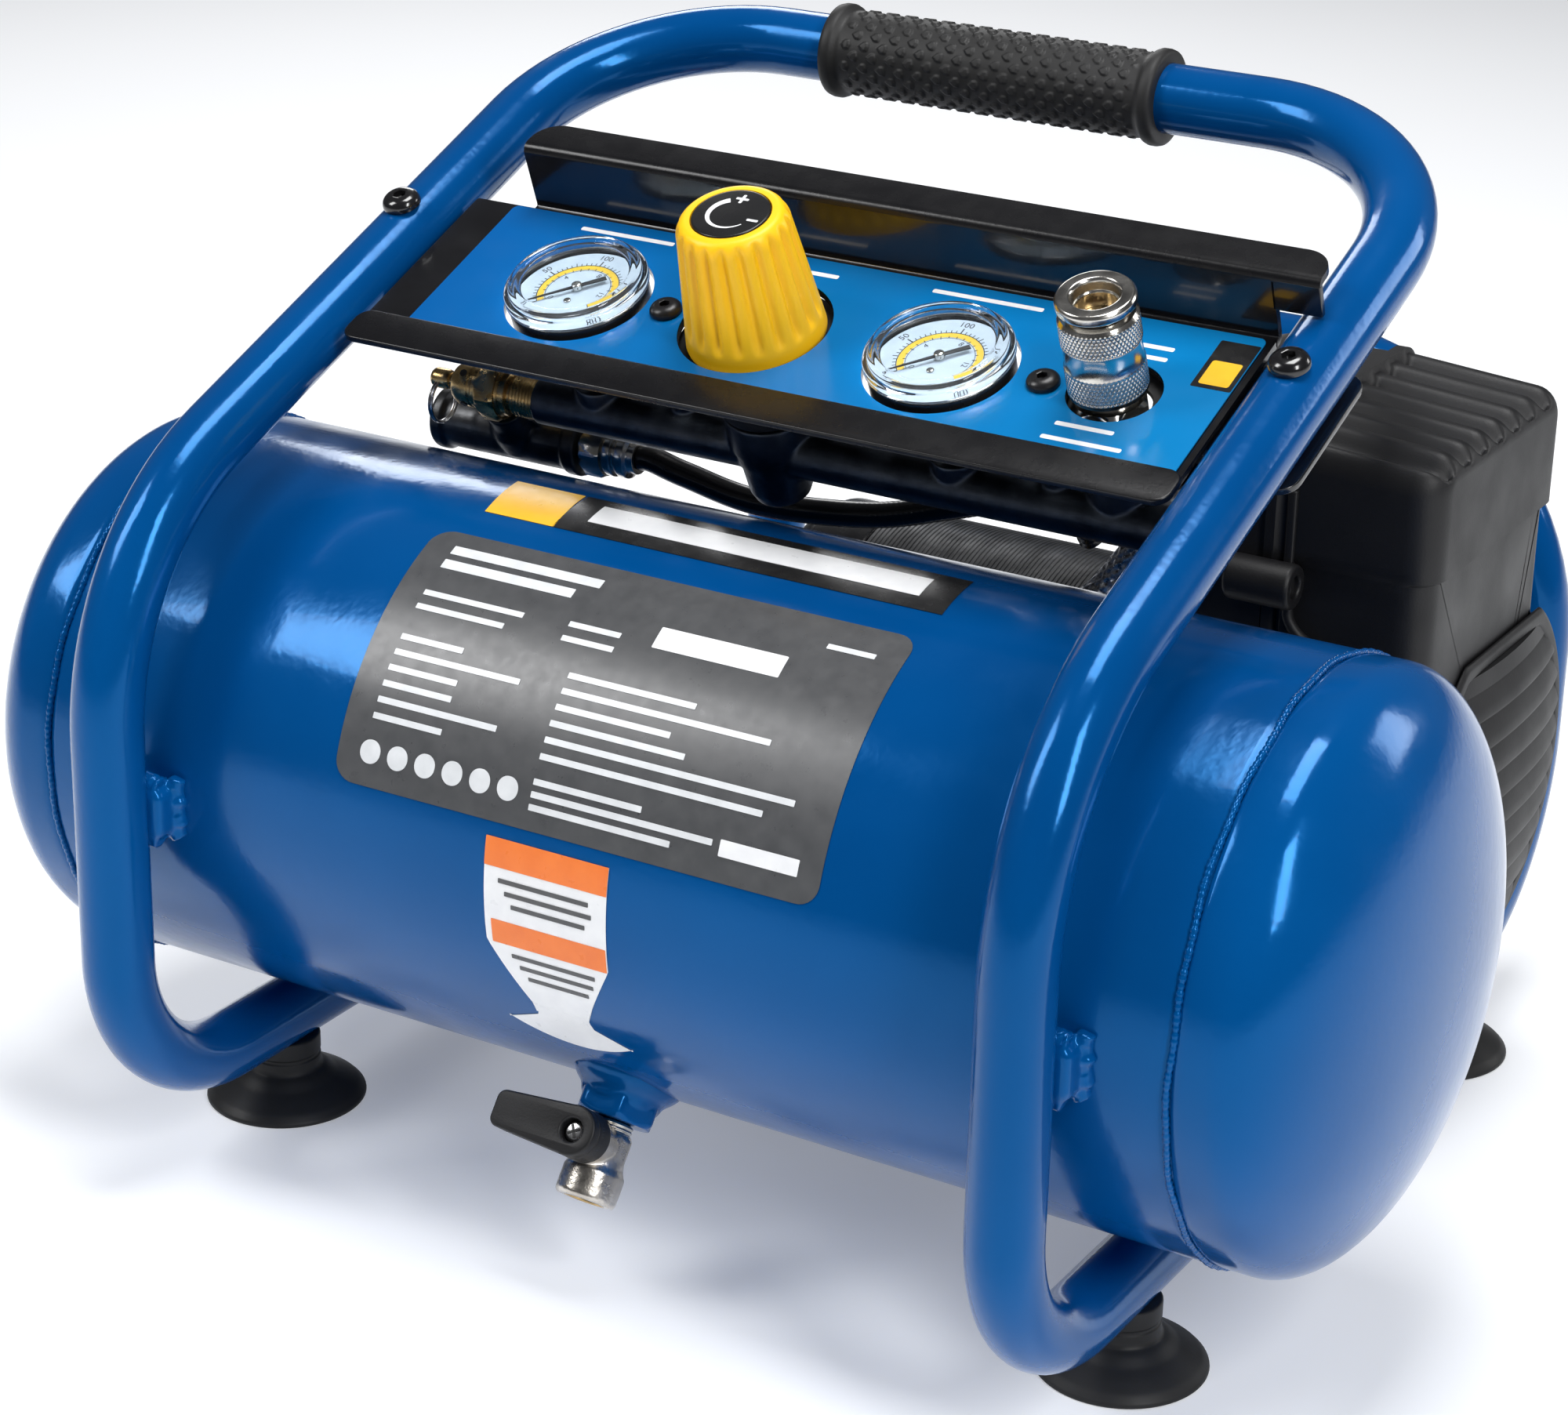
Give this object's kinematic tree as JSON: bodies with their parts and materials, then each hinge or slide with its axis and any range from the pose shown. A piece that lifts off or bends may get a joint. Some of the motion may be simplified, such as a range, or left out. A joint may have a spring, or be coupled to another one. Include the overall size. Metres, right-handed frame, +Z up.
{
  "type": "air compressor",
  "caption": "Portable electric air compressor: horizontal tank in a bent-tube roll cage with carry handle, gauge panel with regulator and coupler, motor, pump and fan shroud.",
  "frame": {"origin": "middle of the footprint on the floor, under the centre of the bounding box", "axes": "+X to the user's right along the tank, +Y to the back, +Z up"},
  "size_m": [0.4274, 0.3714, 0.3068],
  "materials": {
    "blue_paint": "gloss",
    "black_paint": "gloss",
    "label_blue": "gloss",
    "black_plastic": "textured",
    "black_rubber": "matte",
    "yellow_plastic": "satin",
    "nickel": "plated",
    "brass": "machined",
    "steel": "machined",
    "cast_alloy": "dark cast",
    "bare_aluminium": "as cast",
    "dial_white": "printed",
    "needle_black": "matte",
    "clear_plastic": "clear",
    "red_plastic": "gloss"
  },
  "bodies": {
    "frame": {"cage_left": "blue_paint", "cage_right": "blue_paint", "tank_shell": "blue_paint", "tank_head_left": "blue_paint", "tank_head_right": "blue_paint", "mount_plate": "black_paint", "panel_bracket": "black_paint", "panel_bolt_left": "black_paint", "panel_bolt_right": "black_paint", "panel_screw_left": "black_paint", "panel_screw_right": "black_paint", "panel_label": "label_blue", "tank_gauge_case": "black_plastic", "outlet_gauge_case": "black_plastic", "regulator_bonnet": "black_plastic", "shroud_right": "black_plastic", "shroud_left": "black_plastic", "fan_guard": "black_plastic", "pressure_switch": "black_plastic", "handle_grip": "black_rubber", "foot_front_left": "black_rubber", "foot_front_right": "black_rubber", "foot_rear_left": "black_rubber", "foot_rear_right": "black_rubber", "unloader_hose": "black_rubber", "drain_valve_body": "nickel", "coupler_body": "nickel", "hose_fitting": "nickel", "safety_valve_body": "brass", "check_valve": "brass", "discharge_hose": "steel", "motor_stator": "steel", "bearing_left": "steel", "bearing_right": "steel", "manifold": "cast_alloy", "unloader_valve": "cast_alloy", "motor_end_left": "bare_aluminium", "motor_end_right": "bare_aluminium", "crankcase": "bare_aluminium", "cylinder": "bare_aluminium", "cylinder_head": "bare_aluminium", "tank_gauge_dial": "dial_white", "outlet_gauge_dial": "dial_white", "tank_gauge_lens": "clear_plastic", "outlet_gauge_lens": "clear_plastic"},
    "drain_lever": {"drain_lever": "black_plastic", "drain_lever_screw": "steel"},
    "regulator_knob": {"regulator_knob": "yellow_plastic", "regulator_knob_cap": "black_plastic"},
    "coupler_sleeve": {"coupler_sleeve": "nickel"},
    "safety_valve_stem": {"safety_valve_stem": "brass"},
    "safety_valve_ring": {"safety_valve_ring": "steel"},
    "tank_gauge_needle": {"tank_gauge_needle": "needle_black"},
    "outlet_gauge_needle": {"outlet_gauge_needle": "needle_black"},
    "switch_rocker": {"switch_rocker": "red_plastic"},
    "rotor": {"motor_shaft": "steel", "motor_rotor": "steel", "eccentric": "steel", "cooling_fan": "black_plastic"},
    "piston": {"piston": "bare_aluminium"}
  },
  "joints": [
    {"name": "drain_lever_turn", "type": "hinge", "parent": "frame", "child": "drain_lever", "pos_m": [0, -0.14232, 0.04056], "axis": [0, -0.7881, 0.6155], "range_deg": [0, 90]},
    {"name": "regulator_turn", "type": "hinge", "parent": "frame", "child": "regulator_knob", "pos_m": [-0.013, -0.04844, 0.24323], "axis": [0, -0.3733, 0.9277], "range_deg": [-540, 540]},
    {"name": "coupler_sleeve_slide", "type": "slide", "parent": "frame", "child": "coupler_sleeve", "axis": [0, 0.3733, -0.9277], "range_m": [0, 0.002], "stiffness_N_per_m": 1500, "springref_m": -0.004},
    {"name": "safety_stem_pull", "type": "slide", "parent": "frame", "child": "safety_valve_stem", "axis": [-1, 0, 0], "range_m": [0, 0.002], "stiffness_N_per_m": 3000, "springref_m": -0.003},
    {"name": "safety_ring_swing", "type": "hinge", "parent": "safety_valve_stem", "child": "safety_valve_ring", "pos_m": [-0.1253, -0.03802, 0.20797], "axis": [0, 1, 0], "range_deg": [-10, 100]},
    {"name": "tank_needle_turn", "type": "hinge", "parent": "frame", "child": "tank_gauge_needle", "pos_m": [-0.0693, -0.0517, 0.24731], "axis": [0, -0.3733, 0.9277], "range_deg": [-264, 0], "stiffness_Nm_per_rad": 0.001, "springref_deg": 2.86},
    {"name": "outlet_needle_turn", "type": "hinge", "parent": "frame", "child": "outlet_gauge_needle", "pos_m": [0.0451, -0.0517, 0.24731], "axis": [0, -0.3733, 0.9277], "range_deg": [-264, 0], "stiffness_Nm_per_rad": 0.001, "springref_deg": 2.86},
    {"name": "switch_rock", "type": "hinge", "parent": "frame", "child": "switch_rocker", "pos_m": [-0.1, 0.085, 0.098], "axis": [1, 0, 0], "range_deg": [-16, 0]},
    {"name": "motor_spin", "type": "hinge", "parent": "frame", "child": "rotor", "pos_m": [0, 0.085, 0.103], "axis": [1, 0, 0], "continuous": true},
    {"name": "piston_slide", "type": "slide", "parent": "frame", "child": "piston", "axis": [0, 0, 1], "range_m": [-0.004, 0.004]}
  ]
}
